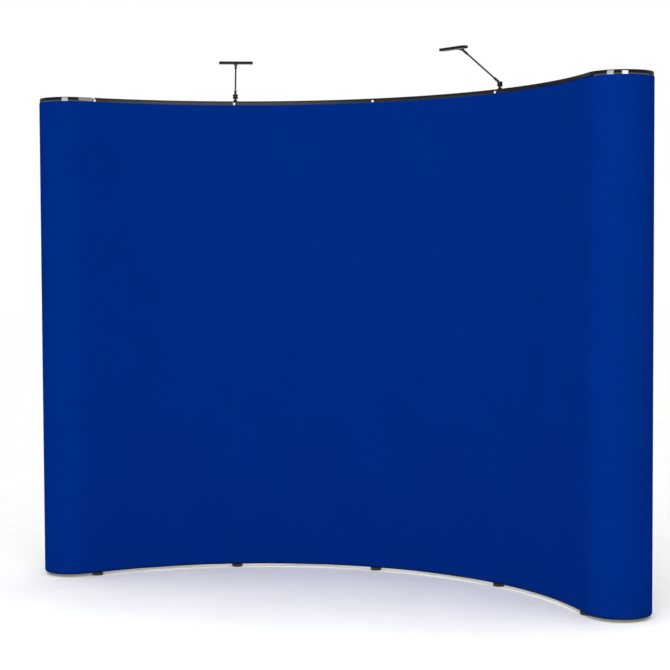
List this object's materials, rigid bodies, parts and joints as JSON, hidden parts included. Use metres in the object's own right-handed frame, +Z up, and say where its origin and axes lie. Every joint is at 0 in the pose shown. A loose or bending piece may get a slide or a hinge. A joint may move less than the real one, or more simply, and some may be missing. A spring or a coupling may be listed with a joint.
{
  "type": "pop-up exhibition wall",
  "caption": "Curved pop-up exhibition wall: fabric panels and wrapped ends hung on a locked folding lattice of struts and hubs, with swivelling clip-on arm lights.",
  "frame": {"origin": "centre of the footprint, on the floor", "axes": "+X along the wall to the right seen from the display side, +Y to the back, +Z up; the concave display side faces -Y"},
  "size_m": [2.8976, 0.9807, 2.4059],
  "materials": {
    "fabric": "royal blue brushed loop-pile fabric on a flexible sheet",
    "rail": "gloss black extruded plastic",
    "tape": "dark magnetic tape",
    "bar": "black anodised",
    "tube": "satin drawn tube",
    "rivet": "bright zinc",
    "hub": "black glass-filled nylon",
    "foot": "black moulded plastic",
    "hook": "white moulded nylon",
    "light_clamp": "black moulded plastic",
    "light_arm": "dark satin steel with black sleeves",
    "light_head": "black powder coat",
    "light_lens": "opal diffuser"
  },
  "bodies": {
    "root": {"front_panel_1": "fabric", "front_panel_2": "fabric", "front_panel_3": "fabric", "front_panel_4": "fabric", "front_top_rail_1": "rail", "front_top_rail_2": "rail", "front_top_rail_3": "rail", "front_top_rail_4": "rail", "front_bottom_rail_1": "rail", "front_bottom_rail_2": "rail", "front_bottom_rail_3": "rail", "front_bottom_rail_4": "rail", "channel_bar_1": "bar", "channel_bar_2": "bar", "channel_bar_3": "bar", "channel_bar_4": "bar", "channel_bar_5": "bar", "bay_struts_1": "tube", "bay_struts_2": "tube", "bay_struts_3": "tube", "bay_struts_4": "tube", "column_struts_1": "tube", "column_struts_2": "tube", "column_struts_3": "tube", "column_struts_4": "tube", "column_struts_5": "tube", "rear_bar_left": "bar", "light_clamp_left": "light_clamp", "light_screw_left": "light_clamp", "rear_bar_right": "bar", "light_clamp_right": "light_clamp", "light_screw_right": "light_clamp", "front_hubs": "hub", "rear_hubs": "hub", "scissor_rivets": "rivet", "hub_pins": "rivet", "front_lock_rods": "tube", "rear_lock_rods": "tube", "lock_cups": "hub", "lock_plugs": "hub", "feet": "foot", "hook_pins": "hook", "front_tapes": "tape"},
    "end_left": {"end_panel_left": "fabric", "end_top_rail_left": "rail", "end_bottom_rail_left": "rail", "end_tapes_left": "tape"},
    "end_right": {"end_panel_right": "fabric", "end_top_rail_right": "rail", "end_bottom_rail_right": "rail", "end_tapes_right": "tape"},
    "swivel_left": {"light_swivel_left": "light_clamp"},
    "arm_left": {"light_arm_left": "light_arm"},
    "head_left": {"light_head_left": "light_head", "light_lens_left": "light_lens"},
    "swivel_right": {"light_swivel_right": "light_clamp"},
    "arm_right": {"light_arm_right": "light_arm"},
    "head_right": {"light_head_right": "light_head", "light_lens_right": "light_lens"}
  },
  "joints": [
    {"name": "end_left_open", "type": "hinge", "parent": "root", "child": "end_left", "pos_m": [-1.15609, -0.37648, 1.12], "axis": [0, 0, 1], "range_deg": [0, 70]},
    {"name": "end_right_open", "type": "hinge", "parent": "root", "child": "end_right", "pos_m": [1.15609, -0.37648, 1.12], "axis": [0, 0, -1], "range_deg": [0, 70]},
    {"name": "light_left_swivel", "type": "hinge", "parent": "root", "child": "swivel_left", "pos_m": [-0.65459, 0.08292, 2.256], "axis": [0, 0, 1], "range_deg": [-90, 90]},
    {"name": "light_left_arm", "type": "hinge", "parent": "swivel_left", "child": "arm_left", "pos_m": [-0.65459, 0.08292, 2.269], "axis": [-0.891, -0.454, 0], "range_deg": [-15, 60]},
    {"name": "light_left_head", "type": "hinge", "parent": "arm_left", "child": "head_left", "pos_m": [-0.54489, -0.13238, 2.38947], "axis": [-0.891, -0.454, 0], "range_deg": [-60, 45]},
    {"name": "light_right_swivel", "type": "hinge", "parent": "root", "child": "swivel_right", "pos_m": [0.66644, 0.07688, 2.256], "axis": [0, 0, 1], "range_deg": [-90, 90]},
    {"name": "light_right_arm", "type": "hinge", "parent": "swivel_right", "child": "arm_right", "pos_m": [0.66644, 0.07688, 2.269], "axis": [-0.891, 0.454, 0], "range_deg": [-15, 60]},
    {"name": "light_right_head", "type": "hinge", "parent": "arm_right", "child": "head_right", "pos_m": [0.55923, -0.13353, 2.3999], "axis": [-0.891, 0.454, 0], "range_deg": [-60, 45]}
  ]
}
